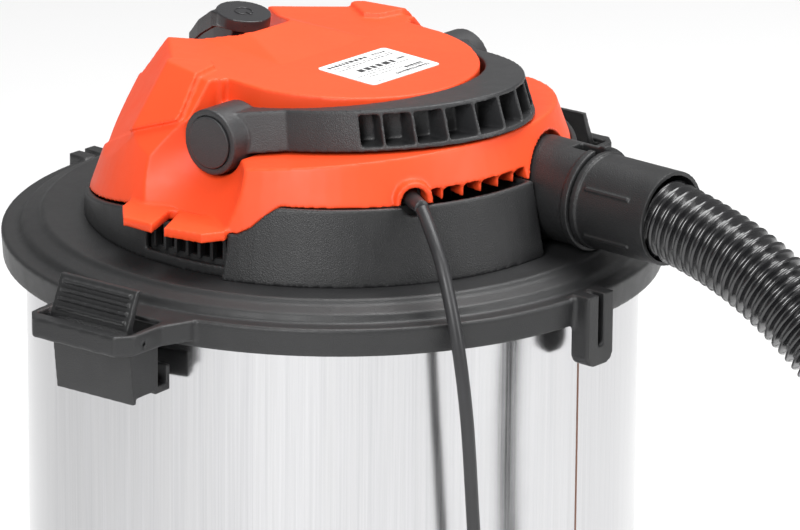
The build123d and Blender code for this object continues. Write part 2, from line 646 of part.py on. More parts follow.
# ---- port, hose and cords -----------------------------------------------------------
def build_port():
    """Suction port stub, the elbow behind it, and the hose cuff in it."""
    stub = rod("X", PORT_R, 112, PORT_END, PORT_Y, PORT_Z)
    stub = stub + rod("X", PORT_R + 1.2, PORT_END - 4, PORT_END, PORT_Y, PORT_Z)
    stub = stub & box(100, 160, 0, 80, LID_TOP + 0.1, PORT_Z + 40)
    stub = stub - rod("X", 23.0 + FIT, 108, PORT_END + 2, PORT_Y, PORT_Z)
    notch = box(136, PORT_END + 1, PORT_Y - 4, PORT_Y + 4, PORT_Z + 20, PORT_Z + 40)
    save("suction_port", stub - notch)
    turn = Pos(ELBOW_X, PORT_Y, PORT_Z)
    elbow = rod("X", ELBOW_R, ELBOW_X, 112, PORT_Y, PORT_Z) + turn * Sphere(ELBOW_R)
    elbow = elbow + disc(ELBOW_R, RIM_Z - 6, PORT_Z, ELBOW_X, PORT_Y)
    bore = rod("X", ELBOW_R - 3.4, ELBOW_X, 113, PORT_Y, PORT_Z) + turn * Sphere(ELBOW_R - 3.4)
    bore = bore + disc(ELBOW_R - 3.4, RIM_Z - 8, PORT_Z, ELBOW_X, PORT_Y)
    save("inlet_elbow", elbow - bore)
    cuff = rod("X", 23.0, 124, PORT_END + 0.5, PORT_Y, PORT_Z)
    cuff = cuff + rod("X", 25.6, PORT_END + GAP, CUFF_END, PORT_Y, PORT_Z)
    cuff = cuff + rod("X", 26.6, PORT_END + GAP, PORT_END + 4, PORT_Y, PORT_Z)
    cuff = cuff - rod("X", 19.5, 120, CUFF_END + 2, PORT_Y, PORT_Z)
    cuff = cuff - rod("X", HOSE_D / 2 + 1.7, 178, CUFF_END + 2, PORT_Y, PORT_Z)
    for angle in (60, 120, 240, 300):
        rib = Rot(angle, 0, 0) * box(PORT_END + 8, CUFF_END - 12, -1, 1, 25, 26.6)
        cuff = cuff + Pos(0, PORT_Y, PORT_Z) * rib
    save("hose_cuff", cuff)


def route_radii(points):
    """Arc radius for each corner: as large as its two runs allow."""
    radii = []
    for a, b, c in zip(points, points[1:], points[2:]):
        first = Vector(*b) - Vector(*a)
        second = Vector(*c) - Vector(*b)
        half_turn = math.radians(first.get_angle(second)) / 2
        radii.append(0.45 * min(first.length, second.length) / math.tan(half_turn))
    return radii


def build_tube(name, points, diameter):
    """Cord or hose along straight runs joined by tangent arcs."""
    radii = route_radii(points)
    path = FilletPolyline(*points, radius=radii)
    start = Vector(*points[1]) - Vector(*points[0])
    section = Plane(origin=points[0], z_dir=start) * Circle(diameter / 2)
    tube = sweep(section, path=path.wire() if hasattr(path, "wire") else path)
    expected = path.length * math.pi * diameter ** 2 / 4
    print(f"{name}: length {path.length:.0f}, tightest {min(radii):.0f}",
          f"radii {[round(r) for r in radii]}, volume ratio {tube.volume / expected:.4f}")
    save(name, tube)
    return path.length


HOSE_ROUTE = [
    (194, 40, 464.2), (226.4, 40, 458.2), (265.9, 40, 443.8), (312, 40, 414), (351, 40, 369),
    (378, 41, 315), (391, 44, 256), (394, 53, 197), (392, 71, 141), (386, 101, 91),
    (375, 142, 52), (358, 191, 29), (332, 245, 21.4), (294, 296, 21.2), (244, 336, 21.2),
    (187, 361, 21.2), (125, 371, 21.2), (62, 369, 21.2), (0, 358, 21.2), (-59, 338, 21.2),
    (-114, 309, 21.2), (-166, 274, 21.2), (-213, 233, 21.2), (-250, 183, 21.2),
    (-277, 127, 21.2),
]
HOSE_END_LEN = 92.0

CORD_ROUTE = [
    (122.1, -68.5, 477.6), (141, -78, 464), (157, -86, 440), (167, -89, 411),
    (171, -87, 374), (171, -83, 330), (172, -79, 280), (175, -76, 228), (181, -74, 176),
    (189, -73, 126), (200, -73, 80), (216, -75, 42), (240, -79, 15), (271, -84, 4.2),
    (302, -91, 3.6),
]
COIL_X = 309.0
COIL_Y = -29.2
COIL_MEAN = 44.0
COIL_SIDE = 28.0


def build_hose():
    """Suction hose and the hand cuff at its free end."""
    build_tube("suction_hose", HOSE_ROUTE, HOSE_D)
    end = Vector(*HOSE_ROUTE[-1])
    heading = end - Vector(*HOSE_ROUTE[-2])
    place = Plane(origin=end, z_dir=heading)
    outer = Pos(0, 0, -20) * revolve(make_face(Polyline(
        (0, 0, 0), (20.9, 0, 0), (20.9, 0, 34), (20.0, 0, 38), (18.5, 0, HOSE_END_LEN),
        (0, 0, HOSE_END_LEN), close=True)), Axis.Z)
    bore = Pos(0, 0, -30) * Cylinder(16.0, 300)
    sleeve = outer - bore - Pos(0, 0, -60) * Cylinder(30, 120)
    save("hose_end", place * sleeve)


def build_cord():
    """Mains lead, its strain relief, the stored coil with its tie, and the plug."""
    build_tube("power_cord", CORD_ROUTE, CORD_D)
    exit_plane = cord_exit_plane()
    relief = revolve(make_face(Polyline((0, 0, -16), (7.4, 0, -16), (7.4, 0, 13), (4.6, 0, 20),
                                        (4.0, 0, 31), (0, 0, 31), close=True)), Axis.Z)
    first = Vector(*CORD_ROUTE[0])
    heading = Vector(*CORD_ROUTE[1]) - first
    clear = Plane(origin=first, z_dir=heading) * Pos(0, 0, 40) * Cylinder(20, 80)
    save("strain_relief", exit_plane * relief - clear)
    r_in = COIL_MEAN - COIL_SIDE / 2
    r_out = COIL_MEAN + COIL_SIDE / 2
    coil = turned([(r_in, 3), (r_in + 3, 0.1), (r_out - 3, 0.1), (r_out, 3), (r_out, 25),
                   (r_out - 3, 28.1), (r_in + 3, 28.1), (r_in, 25)])
    save("cord_coil", Pos(COIL_X, COIL_Y, 0) * coil)
    tie = box(-r_out - 1.2, -r_in + 1.8, -5, 5, 0.0, 29.6)
    tie = tie - box(-r_out, -r_in + 0.6, -6, 6, 0.1, 28.1)
    save("cord_tie", Pos(COIL_X, COIL_Y, 0) * tie)
    grip = Pos(COIL_X + 2, COIL_Y + 4, 37.5) * Rot(0, 0, 24)
    body = Rot(0, 90, 0) * Cylinder(9, 34) + Pos(16, 0, 0) * Box(10, 30, 17)
    neck = Pos(-25, 0, 0) * Rot(0, 90, 0) * Cylinder(5, 18)
    pins = Pos(28, 9.5, 0) * Rot(0, 90, 0) * Cylinder(2.4, 19)
    pins = pins + Pos(28, -9.5, 0) * Rot(0, 90, 0) * Cylinder(2.4, 19)
    save("mains_plug", grip * (body + neck + pins))


build_drum()
build_base()
for number, (spot_x, spot_y) in enumerate(caster_spots(), start=1):
    build_caster(number, spot_x, spot_y)
build_lid()
for latch_side, latch_place in latch_places().items():
    build_latch(latch_side, latch_place)
build_pod()
build_grilles()
build_cover()
build_cover_screws()
build_switch()
build_handle()
build_motor()
build_filter()
build_port()
build_hose()
build_cord()
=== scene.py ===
import json
import math
import random

import bmesh
import bpy
from mathutils import Matrix, Vector

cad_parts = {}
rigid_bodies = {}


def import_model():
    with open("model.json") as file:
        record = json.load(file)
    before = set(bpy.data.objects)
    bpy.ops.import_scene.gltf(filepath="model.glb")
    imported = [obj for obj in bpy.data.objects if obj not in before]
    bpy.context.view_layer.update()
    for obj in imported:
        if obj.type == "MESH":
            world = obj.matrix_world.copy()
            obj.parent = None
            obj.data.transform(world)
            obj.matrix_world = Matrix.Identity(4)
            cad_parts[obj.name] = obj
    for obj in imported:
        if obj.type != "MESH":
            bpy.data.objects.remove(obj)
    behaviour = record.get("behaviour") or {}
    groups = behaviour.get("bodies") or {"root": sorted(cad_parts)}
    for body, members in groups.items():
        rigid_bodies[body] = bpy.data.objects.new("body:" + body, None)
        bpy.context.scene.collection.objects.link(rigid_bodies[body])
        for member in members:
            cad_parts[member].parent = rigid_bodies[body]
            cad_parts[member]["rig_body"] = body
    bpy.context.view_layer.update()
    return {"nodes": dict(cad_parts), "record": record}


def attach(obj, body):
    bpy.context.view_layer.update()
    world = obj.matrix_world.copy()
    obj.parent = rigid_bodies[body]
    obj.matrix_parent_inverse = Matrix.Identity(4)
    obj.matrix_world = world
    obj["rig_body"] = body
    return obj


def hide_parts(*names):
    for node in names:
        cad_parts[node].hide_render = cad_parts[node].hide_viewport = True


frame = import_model()
NODES = frame["nodes"]
RIM_Z = 0.412             # bottom edge of the lid's rim
DECK_Z = RIM_Z + 0.110
SEAM_TURN = math.radians(3.1)
EXIT_TURN = math.radians(-29.3)    # the cord leaves the cover in this direction
EXIT_Z = RIM_Z + 0.0665


# ---- node tools ---------------------------------------------------------------------
class Shader:
    """A small helper that adds and links the nodes of one material."""

    def __init__(self, name):
        self.material = bpy.data.materials.new(name)
        self.material.use_nodes = True
        self.tree = self.material.node_tree
        self.bsdf = self.tree.nodes["Principled BSDF"]
        self.coords = self.tree.nodes.new("ShaderNodeTexCoord").outputs["Object"]

    def node(self, kind, **settings):
        made = self.tree.nodes.new(kind)
        for key, value in settings.items():
            setattr(made, key, value)
        return made

    def link(self, source, target):
        self.tree.links.new(source, target)

    def set(self, **values):
        for key, value in values.items():
            self.bsdf.inputs[key.replace("_", " ")].default_value = value

    def stretched(self, scale):
        """Object coordinates multiplied by three factors."""
        mapping = self.node("ShaderNodeMapping")
        mapping.inputs["Scale"].default_value = scale
        self.link(self.coords, mapping.inputs["Vector"])
        return mapping.outputs["Vector"]

    def noise(self, scale, detail=3.0, rough=0.55, vector=None):
        """Noise of a given number of features per metre."""
        noise = self.node("ShaderNodeTexNoise")
        noise.inputs["Scale"].default_value = scale
        noise.inputs["Detail"].default_value = detail
        noise.inputs["Roughness"].default_value = rough
        self.link(vector or self.coords, noise.inputs["Vector"])
        return noise.outputs["Fac"]

    def ramp(self, value, low, high, to_low, to_high):
        """Map a value range to another range."""
        change = self.node("ShaderNodeMapRange")
        change.inputs["From Min"].default_value = low
        change.inputs["From Max"].default_value = high
        change.inputs["To Min"].default_value = to_low
        change.inputs["To Max"].default_value = to_high
        self.link(value, change.inputs["Value"])
        return change.outputs["Result"]

    def mix(self, factor, first, second):
        """Blend two colours by a factor."""
        mix = self.node("ShaderNodeMix", data_type="RGBA")
        self.link(factor, mix.inputs["Factor"])
        for value, socket in ((first, mix.inputs["A"]), (second, mix.inputs["B"])):
            if isinstance(value, tuple):
                socket.default_value = (*value, 1.0)
            else:
                self.link(value, socket)
        return mix.outputs["Result"]

    def bump(self, height, strength, distance, below=None):
        """Bump from a height, on top of an earlier bump."""
        bump = self.node("ShaderNodeBump")
        bump.inputs["Strength"].default_value = strength
        bump.inputs["Distance"].default_value = distance
        self.link(height, bump.inputs["Height"])
        if below:
            self.link(below, bump.inputs["Normal"])
        self.link(bump.outputs["Normal"], self.bsdf.inputs["Normal"])
        return bump.outputs["Normal"]

    def colour(self, socket):
        self.link(socket, self.bsdf.inputs["Base Color"])

    def roughness(self, socket):
        self.link(socket, self.bsdf.inputs["Roughness"])


def moulded(name, base, rough, grain=0.12, pores=900.0, dust=0.05, specular=0.5):
    """Moulded plastic: fine eroded grain, cloudy colour and paler worn edges."""
    s = Shader(name)
    s.set(Specular_IOR_Level=specular)
    cloud = s.noise(9.0, 4.0)
    darker = tuple(c * 0.90 for c in base)
    lighter = tuple(min(1.0, c * 1.06 + dust * 0.05) for c in base)
    body = s.mix(s.ramp(cloud, 0.3, 0.7, 0.0, 1.0), darker, lighter)
    geometry = s.node("ShaderNodeNewGeometry")
    edge = s.ramp(geometry.outputs["Pointiness"], 0.53, 0.60, 0.0, dust * 3)
    worn = tuple(min(1.0, c * 0.8 + 0.14) for c in base)
    s.colour(s.mix(edge, body, worn))
    s.roughness(s.ramp(s.noise(60.0, 5.0), 0.3, 0.7, rough - 0.05, rough + 0.06))
    fine = s.bump(s.noise(pores, 2.0), grain, 0.0004)
    s.bump(s.noise(35.0, 2.0), 0.04, 0.002, fine)
    return s.material


def orange_plastic():
    """Orange plastic of the cover."""
    return moulded("orange_plastic", (0.93, 0.080, 0.017), 0.46, 0.07, 1400.0, 0.03, 0.35)


def black_plastic():
    """Black grained plastic of the lid, pod and fittings."""
    return moulded("black_plastic", (0.0135, 0.0138, 0.0145), 0.42, 0.55, 1500.0, 0.05, 0.5)


def satin_black():
    """Slightly paler grained plastic of the handle."""
    return moulded("satin_black", (0.027, 0.0275, 0.029), 0.42, 0.50, 1500.0, 0.05, 0.5)


def hose_black():
    """Glossy soft plastic of the hose."""
    s = Shader("hose_black")
    s.set(Specular_IOR_Level=0.6, Coat_Weight=0.4, Coat_Roughness=0.10)
    s.colour(s.mix(s.noise(40.0), (0.006, 0.006, 0.007), (0.012, 0.012, 0.013)))
    s.roughness(s.ramp(s.noise(90.0, 4.0), 0.3, 0.7, 0.18, 0.30))
    s.bump(s.noise(700.0), 0.06, 0.0003)
    return s.material


def cord_black():
    """Satin sheath of the cord and its plug."""
    s = Shader("cord_black")
    s.set(Specular_IOR_Level=0.5)
    s.colour(s.mix(s.noise(60.0), (0.016, 0.016, 0.017), (0.028, 0.028, 0.030)))
    s.roughness(s.ramp(s.noise(120.0, 4.0), 0.3, 0.7, 0.34, 0.48))
    s.bump(s.noise(900.0), 0.10, 0.0003)
    return s.material


def rubber(name, base, rough):
    """Matt rubber or carbon with a fine grain."""
    s = Shader(name)
    s.set(Specular_IOR_Level=0.4)
    s.colour(s.mix(s.noise(30.0, 5.0), tuple(c * 0.8 for c in base), tuple(c * 1.25 for c in base)))
    s.roughness(s.ramp(s.noise(70.0, 5.0), 0.3, 0.7, rough - 0.08, rough + 0.08))
    s.bump(s.noise(800.0, 4.0), 0.2, 0.0004)
    return s.material


def steel_drum():
    """Stainless sheet with fine upright brushing and faint smudges."""
    s = Shader("steel_drum")
    s.set(Metallic=1.0, Anisotropic=0.55)
    fine = s.noise(1.0, 6.0, 0.7, s.stretched((900.0, 900.0, 6.0)))
    broad = s.noise(1.0, 3.0, 0.6, s.stretched((140.0, 140.0, 1.5)))
    smudge = s.noise(7.0, 4.0)
    grain = s.mix(s.ramp(fine, 0.3, 0.7, 0.0, 1.0), (0.44, 0.44, 0.45), (0.56, 0.56, 0.57))
    s.colour(s.mix(s.ramp(broad, 0.35, 0.65, 0.0, 0.35), grain, (0.52, 0.52, 0.52)))
    low = s.ramp(fine, 0.25, 0.75, 0.10, 0.17)
    added = s.node("ShaderNodeMath", operation="ADD")
    s.link(low, added.inputs[0])
    s.link(s.ramp(smudge, 0.45, 0.75, 0.0, 0.07), added.inputs[1])
    s.roughness(added.outputs[0])
    tangent = s.node("ShaderNodeTangent", direction_type="RADIAL", axis="Z")
    s.link(tangent.outputs["Tangent"], s.bsdf.inputs["Tangent"])
    s.bump(fine, 0.05, 0.0002)
    return s.material


def metal(name, base, rough, streak=(200.0, 200.0, 200.0)):
    """Bare metal with streaks of a given number per metre along each axis."""
    s = Shader(name)
    s.set(Metallic=1.0)
    streaks = s.noise(1.0, 5.0, 0.6, s.stretched(streak))
    s.colour(s.mix(streaks, tuple(c * 0.85 for c in base), tuple(min(1.0, c * 1.1) for c in base)))
    s.roughness(s.ramp(streaks, 0.3, 0.7, rough - 0.07, rough + 0.08))
    s.bump(streaks, 0.06, 0.0003)
    return s.material


def foam():
    """Open dark foam with small cells."""
    s = Shader("foam_dark")
    s.set(Specular_IOR_Level=0.2)
    cells = s.node("ShaderNodeTexVoronoi")
    cells.inputs["Scale"].default_value = 700.0
    s.link(s.coords, cells.inputs["Vector"])
    depth = cells.outputs["Distance"]
    # painted shade: the colour is darkest in the hollow middle of each cell, where the bump sinks
    # the surface, and palest on the cell walls
    s.colour(s.mix(s.ramp(depth, 0.1, 0.6, 0.0, 1.0), (0.03, 0.03, 0.033), (0.16, 0.16, 0.17)))
    s.set(Roughness=0.9)
    s.bump(depth, 0.6, 0.001)
    return s.material


def label_paper():
    """White label with a thin clear film."""
    s = Shader("label_white")
    s.set(Coat_Weight=0.2, Coat_Roughness=0.25)
    s.colour(s.mix(s.noise(50.0), (0.80, 0.80, 0.80), (0.88, 0.88, 0.87)))
    s.roughness(s.ramp(s.noise(200.0), 0.3, 0.7, 0.30, 0.42))
    return s.material


def flat_ink(name, base):
    """Matt print of one colour."""
    s = Shader(name)
    s.colour(s.mix(s.noise(300.0), base, tuple(c * 1.3 + 0.01 for c in base)))
    s.set(Roughness=0.5)
    return s.material


MAT = {
    "orange_plastic": orange_plastic(),
    "black_plastic": black_plastic(),
    "satin_black": satin_black(),
    "steel_drum": steel_drum(),
    "hose_black": hose_black(),
    "cord_black": cord_black(),
    "label_white": label_paper(),
    "rocker_black": moulded("rocker_black", (0.022, 0.022, 0.024), 0.30, 0.05, 1500.0, 0.03),
    "wheel_grey": rubber("wheel_grey", (0.07, 0.07, 0.072), 0.55),
    "zinc_steel": metal("zinc_steel", (0.68, 0.69, 0.71), 0.30),
    "screw_steel": metal("screw_steel", (0.55, 0.55, 0.56), 0.38),
    "seal_rubber": rubber("seal_rubber", (0.02, 0.02, 0.02), 0.6),
    "foam_dark": foam(),
    "white_plastic": moulded("white_plastic", (0.78, 0.78, 0.76), 0.4, 0.05, 900.0, 0.02),
    "copper": metal("copper", (0.80, 0.38, 0.20), 0.33, (60.0, 60.0, 900.0)),
    "carbon": rubber("carbon", (0.04, 0.04, 0.042), 0.5),
    "iron": metal("iron", (0.33, 0.33, 0.34), 0.45, (20.0, 20.0, 1800.0)),
    "alloy": metal("alloy", (0.72, 0.72, 0.73), 0.35),
    "plug_pin": metal("plug_pin", (0.80, 0.70, 0.46), 0.25),
}
INK = flat_ink("label_ink", (0.03, 0.03, 0.032))
SEAM = flat_ink("seam_brown", (0.16, 0.07, 0.04))


def give(piece, material):
    """Put one material on a piece."""
    piece.data.materials.clear()
    piece.data.materials.append(material)


SLOT_OF = {s["node"]: s["material_slot"] for s in frame["record"]["subparts"]}
for node_name, node_object in NODES.items():
    give(node_object, MAT[SLOT_OF[node_name]])


# ---- mesh tools ---------------------------------------------------------------------
def new_piece(name, mesh, material):
    """An object with one mesh and one material."""
    piece = bpy.data.objects.new(name, mesh)
    bpy.context.scene.collection.objects.link(piece)
    give(piece, material)
    return piece


def applied(piece):
    """Replace a piece's mesh by its mesh with all modifiers applied."""
    bpy.context.view_layer.update()
    graph = bpy.context.evaluated_depsgraph_get()
    mesh = bpy.data.meshes.new_from_object(piece.evaluated_get(graph))
    piece.modifiers.clear()
    piece.data = mesh


def welded_copy(node):
    """The mesh of a CAD node with its seams joined, as a new object."""
    mesh = NODES[node].data.copy()
    work = bmesh.new()
    work.from_mesh(mesh)
    bmesh.ops.remove_doubles(work, verts=work.verts, dist=0.00002)
    work.to_mesh(mesh)
    work.free()
    copy = bpy.data.objects.new(node + "_moulded", mesh)
    bpy.context.scene.collection.objects.link(copy)
    return copy


def join_hull(piece, corners):
    """Add the convex solid around some corner points to a piece, left as its own shell."""
    work = bmesh.new()
    for corner in corners:
        work.verts.new(corner)
    hull = bmesh.ops.convex_hull(work, input=work.verts)
    left_over = hull["geom_interior"] + hull["geom_unused"]
    spare = {part for part in left_over if isinstance(part, bmesh.types.BMVert)}
    bmesh.ops.delete(work, geom=list(spare), context="VERTS")
    work.from_mesh(piece.data)
    work.to_mesh(piece.data)
    work.free()


def softened(node, material, voxel, passes, keep):
    """A moulded version of a CAD node: remeshed, edges rounded by smoothing, then thinned."""
    piece = welded_copy(node)
    for corners in FILLERS.get(node, []):
        join_hull(piece, corners)
    remesh = piece.modifiers.new("remesh", "REMESH")
    remesh.mode = "VOXEL"
    remesh.voxel_size = voxel
    smooth = piece.modifiers.new("smooth", "SMOOTH")
    smooth.factor = 0.5
    smooth.iterations = passes
    thin = piece.modifiers.new("thin", "DECIMATE")
    thin.ratio = keep
    if node in DRAWN_IN:
        draw_in = piece.modifiers.new("draw_in", "DISPLACE")
        draw_in.strength = -DRAWN_IN[node]
        draw_in.mid_level = 0.0
    applied(piece)
    give(piece, material)
    for polygon in piece.data.polygons:
        polygon.use_smooth = True
    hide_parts(node)
    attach(piece, NODES[node]["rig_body"])
    return piece


# ---- hose and cord routes -----------------------------------------------------------
def in_metres(points):
    """Points given in millimetres, in metres."""
    return [(x / 1000, y / 1000, z / 1000) for x, y, z in points]


HOSE_ROUTE = in_metres([
    (194, 40, 464.2), (226.4, 40, 458.2), (265.9, 40, 443.8), (312, 40, 414), (351, 40, 369),
    (378, 41, 315), (391, 44, 256), (394, 53, 197), (392, 71, 141), (386, 101, 91),
    (375, 142, 52), (358, 191, 29), (332, 245, 21.4), (294, 296, 21.2), (244, 336, 21.2),
    (187, 361, 21.2), (125, 371, 21.2), (62, 369, 21.2), (0, 358, 21.2), (-59, 338, 21.2),
    (-114, 309, 21.2), (-166, 274, 21.2), (-213, 233, 21.2), (-250, 183, 21.2),
    (-277, 127, 21.2),
])
CORD_ROUTE = in_metres([
    (122.1, -68.5, 477.6), (141, -78, 464), (157, -86, 440), (167, -89, 411),
    (171, -87, 374), (171, -83, 330), (172, -79, 280), (175, -76, 228), (181, -74, 176),
    (189, -73, 126), (200, -73, 80), (216, -75, 42), (240, -79, 15), (271, -84, 4.2),
    (302, -91, 3.6),
])
HOSE_D = 0.042
CORD_D = 0.007
COIL_X = 0.309
COIL_Y = -0.0292
COIL_RADII = (0.0545, 0.0475, 0.0405, 0.0335)
COIL_LAYERS = 4
COIL_LOW = 0.0038         # height of the lowest layer's centreline
COIL_START = math.radians(-70)
COIL_POINTS = 14
PLUG_TAIL = in_metres([
    (322.5, -79.4, 31.9), (344.4, -64.6, 32.2), (357.3, -42.1, 32.6), (357.3, -16.3, 33.1),
    (344.4, 6.2, 33.6), (321.9, 19.1, 34.2), (292, 21.4, 34.8), (261.4, 18.2, 35.4),
    (245.7, 14, 35.8), (234.1, 2.5, 36.2), (229.9, -13.3, 36.5), (234.1, -29, 36.8),
    (245.7, -40.6, 37.1), (261.4, -44.8, 37.4), (274.2, -42.1, 37.5), (280, -39, 37.5),
    (284, -37.3, 37.5),
])


def nurbs(name, points, bevel=0.0):
    """A curve object of one smooth open spline with these control points."""
    curve = bpy.data.curves.new(name, "CURVE")
    curve.dimensions = "3D"
    curve.resolution_u = 12
    curve.bevel_depth = bevel
    curve.bevel_resolution = 6
    curve.use_fill_caps = bevel > 0
    spline = curve.splines.new("NURBS")
    spline.points.add(len(points) - 1)
    for point, place in zip(spline.points, points):
        point.co = (*place, 1.0)
    spline.order_u = 3
    spline.use_endpoint_u = True
    piece = bpy.data.objects.new(name, curve)
    bpy.context.scene.collection.objects.link(piece)
    return piece


def read_line(points):
    """Closely spaced points along the smooth spline of a route."""
    guide = nurbs("guide", points)
    bpy.context.view_layer.update()
    graph = bpy.context.evaluated_depsgraph_get()
    mesh = bpy.data.meshes.new_from_object(guide.evaluated_get(graph))
    line = [v.co.copy() for v in mesh.vertices]
    bpy.data.objects.remove(guide)
    bpy.data.meshes.remove(mesh)
    return line


def lengths_along(line):
    """Distance from the start of a line to each of its points."""
    lengths = [0.0]
    for a, b in zip(line, line[1:]):
        lengths.append(lengths[-1] + (b - a).length)
    return lengths


def spaced(line, count):
    """Equally spaced points along a line."""
    lengths = lengths_along(line)
    result = []
    at = 0
    for k in range(count):
        want = lengths[-1] * k / (count - 1)
        while at < len(line) - 2 and lengths[at + 1] < want:
            at += 1
        span = lengths[at + 1] - lengths[at]
        result.append(line[at].lerp(line[at + 1], (want - lengths[at]) / span))
    return result


def tube_mesh(name, line, radii, sides):
    """A closed tube along a line with a radius at each point."""
    work = bmesh.new()
    side = None
    loops = []
    for k, centre in enumerate(line):
        ahead = line[min(k + 1, len(line) - 1)] - line[max(k - 1, 0)]
        ahead.normalize()
        if side is None:
            side = ahead.orthogonal()
        side = (side - ahead * side.dot(ahead)).normalized()
        up = ahead.cross(side)
        loop = []
        for i in range(sides):
            angle = 2 * math.pi * i / sides
            ray = side * math.cos(angle) + up * math.sin(angle)
            loop.append(work.verts.new(centre + ray * radii[k]))
        loops.append(loop)
    for one, two in zip(loops, loops[1:]):
        for i in range(sides):
            j = (i + 1) % sides
            work.faces.new((one[i], one[j], two[j], two[i]))
    work.faces.new(list(reversed(loops[0])))
    work.faces.new(loops[-1])
    for face in work.faces:
        face.smooth = True
    mesh = bpy.data.meshes.new(name)
    work.to_mesh(mesh)
    work.free()
    return mesh


def build_hose():
    """Corrugated suction hose along its route."""
    pitch = 0.0058
    per_ridge = 6
    line = read_line(HOSE_ROUTE)
    ridges = round(lengths_along(line)[-1] / pitch)
    points = spaced(line, ridges * per_ridge + 1)
    profile = (0.0, 0.12, 0.62, 1.0, 0.62, 0.12)
    crest = HOSE_D / 2 + 0.0002
    depth = 0.0040
    radii = [crest - depth * (1 - profile[k % per_ridge]) for k in range(len(points))]
    mesh = tube_mesh("suction_hose_corrugated", points, radii, 40)
    hose = new_piece("suction_hose_corrugated", mesh, MAT["hose_black"])
    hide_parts("suction_hose")
    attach(hose, "head")


def coil_points():
    """Turns of the stored lead: four layers of four turns, each easing into the next."""
    turns = []
    for layer in range(COIL_LAYERS):
        order = COIL_RADII if layer % 2 == 0 else COIL_RADII[::-1]
        for radius in order:
            turns.append((radius, COIL_LOW + CORD_D * layer))
    turns.append((COIL_RADII[0], COIL_LOW + CORD_D * COIL_LAYERS))
    points = []
    for turn in range(len(turns) - 1):
        radius, height = turns[turn]
        next_radius, next_height = turns[turn + 1]
        for k in range(COIL_POINTS):
            share = k / COIL_POINTS
            angle = COIL_START + 2 * math.pi * (turn + share)
            wide = radius + (next_radius - radius) * share
            z = height + (next_height - height) * share
            points.append((COIL_X + wide * math.cos(angle), COIL_Y + wide * math.sin(angle), z))
    return points


def build_cord():
    """Power cord: the hanging run, the stored coil and the loop to the plug in one spline."""
    points = CORD_ROUTE + coil_points() + PLUG_TAIL
    cord = nurbs("power_cord_line", points, CORD_D / 2)
    cord.data.materials.append(MAT["cord_black"])
    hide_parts("power_cord", "cord_coil")
    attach(cord, "head")
    build_boot()


# ---- moulded shells -----------------------------------------------------------------
def both_sides(corners):
    """Corner points in millimetres above the rim, with their mirror images, in metres."""
    points = []
    for x, y, z in corners:
        for side in (-1, 1):
            points.append((x / 1000, side * y / 1000, RIM_Z + z / 1000))
    return points


def exit_point(along, side, up):
    """A point near the cord's exit: out from the drum's axis, across the exit, and above it."""
    return (along * math.cos(EXIT_TURN) - side * math.sin(EXIT_TURN),
            along * math.sin(EXIT_TURN) + side * math.cos(EXIT_TURN), EXIT_Z + up)


def hood_blocks():
    """Wedges of the arched hood over the cord's exit."""
    blocks = []
    for k in range(10):
        corners = []
        for angle in (-12 + 20.4 * k, -12 + 20.4 * (k + 1)):
            a = math.radians(angle)
            for radius in (0.0072, 0.0104):
                for along in (0.1165, 0.1290):
                    corners.append(exit_point(along, radius * math.cos(a), radius * math.sin(a)))
        blocks.append(corners)
    return blocks


FILLERS = {                # convex solids joined to a node before it is remeshed
    "power_rocker": [both_sides([
        (-62, 12.5, 113), (-64, 12, 104.5), (-78, 11, 117), (-78, 10, 103.5), (-90, 7, 111),
        (-90, 6.5, 99.5), (-101, 3, 102), (-102, 2.5, 96.5)])],
    "top_cover": hood_blocks(),
}
DRAWN_IN = {"hose_cuff": 0.0003}      # keeps the turning cuff clear of its port
MOULDED = [                # node, material, voxel, smoothing passes, share of faces kept
    ("top_cover", "orange_plastic", 0.0010, 4, 0.30),
    ("handle", "satin_black", 0.0007, 7, 0.35),
    ("handle_caps", "satin_black", 0.0005, 3, 0.30),
    ("lid", "black_plastic", 0.0011, 2, 0.30),
    ("motor_pod", "black_plastic", 0.0009, 3, 0.30),
    ("latch_near", "black_plastic", 0.0006, 2, 0.35),
    ("latch_far", "black_plastic", 0.0006, 2, 0.35),
    ("hose_cuff", "black_plastic", 0.0006, 2, 0.35),
    ("suction_port", "black_plastic", 0.0006, 2, 0.35),
    ("power_rocker", "rocker_black", 0.0004, 5, 0.30),
    ("base_tray", "black_plastic", 0.0016, 2, 0.30),
    ("hose_end", "black_plastic", 0.0007, 2, 0.30),
    ("mains_plug", "cord_black", 0.0006, 4, 0.30),
]
for number in range(1, 5):
    MOULDED.append((f"caster_wheel_{number}", "wheel_grey", 0.0007, 3, 0.25))
for node, key, voxel, passes, keep in MOULDED:
    softened(node, MAT[key], voxel, passes, keep)


# ---- drum skin ----------------------------------------------------------------------
def lathe(name, profile, segments, material):
    """A closed solid of revolution about Z from (radius, height) points on and off the axis."""
    work = bmesh.new()
    rings = []
    for radius, height in profile:
        if radius == 0.0:
            rings.append([work.verts.new((0.0, 0.0, height))])
            continue
        ring = []
        for k in range(segments):
            angle = 2 * math.pi * k / segments
            ring.append(work.verts.new((radius * math.cos(angle), radius * math.sin(angle), height)))
        rings.append(ring)
    for low, high in zip(rings, rings[1:]):
        for k in range(segments):
            after = (k + 1) % segments
            corners = [low[k % len(low)], low[after % len(low)],
                       high[after % len(high)], high[k % len(high)]]
            work.faces.new(list(dict.fromkeys(corners)))
    for face in work.faces:
        face.smooth = True
    mesh = bpy.data.meshes.new(name)
    work.to_mesh(mesh)
    work.free()
    return new_piece(name, mesh, material)


